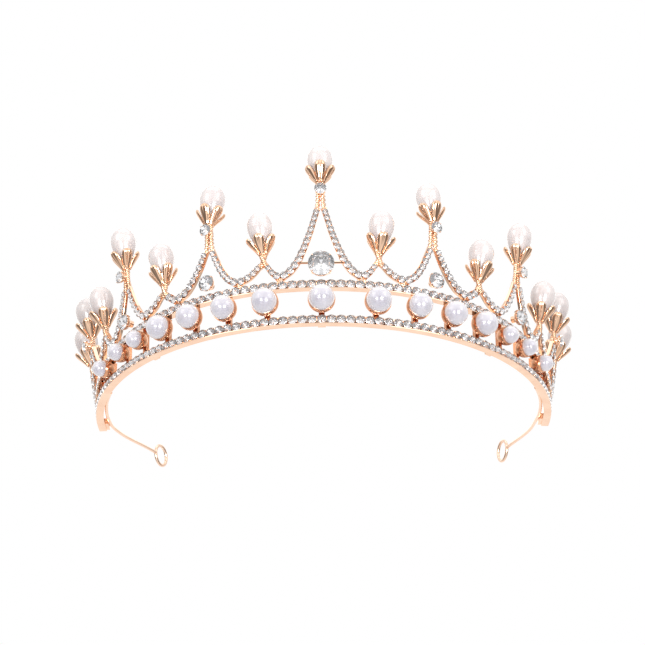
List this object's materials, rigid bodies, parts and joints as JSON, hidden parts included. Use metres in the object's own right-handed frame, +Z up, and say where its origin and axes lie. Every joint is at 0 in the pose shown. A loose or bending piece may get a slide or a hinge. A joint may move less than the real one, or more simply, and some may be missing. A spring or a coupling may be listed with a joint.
{
  "type": "bridal tiara",
  "caption": "Rose-gold bridal tiara: a double stone-set band with round pearls between the rails, arched peaks tipped with drop pearls in petal claws, and wire arms ending in eyelets.",
  "frame": {"origin": "centre of the bounding box in plan, on the plane the band and the eyelets rest on", "axes": "+Z up, the front of the tiara faces -Y, +X is the wearer's left"},
  "size_m": [0.1702, 0.1337, 0.0617],
  "materials": {
    "rose_gold": "polished rose-gold plating over a cast alloy",
    "crystal": "clear faceted glass with a silver foil back",
    "drop_pearl": "pearl lacquer, faintly pink",
    "round_pearl": "pearl lacquer, faintly lavender"
  },
  "bodies": {
    "root": {"claw_center": "rose_gold", "claw_left_1": "rose_gold", "claw_left_2": "rose_gold", "claw_left_3": "rose_gold", "claw_left_4": "rose_gold", "claw_left_5": "rose_gold", "claw_left_6": "rose_gold", "claw_left_7": "rose_gold", "claw_right_1": "rose_gold", "claw_right_2": "rose_gold", "claw_right_3": "rose_gold", "claw_right_4": "rose_gold", "claw_right_5": "rose_gold", "claw_right_6": "rose_gold", "claw_right_7": "rose_gold", "crystal_bezels": "rose_gold", "crystals": "crystal", "drop_pearl_center": "drop_pearl", "drop_pearl_left_1": "drop_pearl", "drop_pearl_left_2": "drop_pearl", "drop_pearl_left_3": "drop_pearl", "drop_pearl_left_4": "drop_pearl", "drop_pearl_left_5": "drop_pearl", "drop_pearl_left_6": "drop_pearl", "drop_pearl_left_7": "drop_pearl", "drop_pearl_right_1": "drop_pearl", "drop_pearl_right_2": "drop_pearl", "drop_pearl_right_3": "drop_pearl", "drop_pearl_right_4": "drop_pearl", "drop_pearl_right_5": "drop_pearl", "drop_pearl_right_6": "drop_pearl", "drop_pearl_right_7": "drop_pearl", "lower_rail": "rose_gold", "lower_rail_cups": "rose_gold", "lower_rail_stones": "crystal", "peak_center": "rose_gold", "peak_cups": "rose_gold", "peak_left_1": "rose_gold", "peak_left_2": "rose_gold", "peak_left_3": "rose_gold", "peak_left_4": "rose_gold", "peak_left_5": "rose_gold", "peak_left_6": "rose_gold", "peak_left_7": "rose_gold", "peak_right_1": "rose_gold", "peak_right_2": "rose_gold", "peak_right_3": "rose_gold", "peak_right_4": "rose_gold", "peak_right_5": "rose_gold", "peak_right_6": "rose_gold", "peak_right_7": "rose_gold", "peak_stones": "crystal", "pearl_cups": "rose_gold", "round_pearls": "round_pearl", "solder_lugs": "rose_gold", "upper_rail": "rose_gold", "upper_rail_cups": "rose_gold", "upper_rail_stones": "crystal", "wire_arm_left": "rose_gold", "wire_arm_right": "rose_gold"}
  },
  "joints": []
}
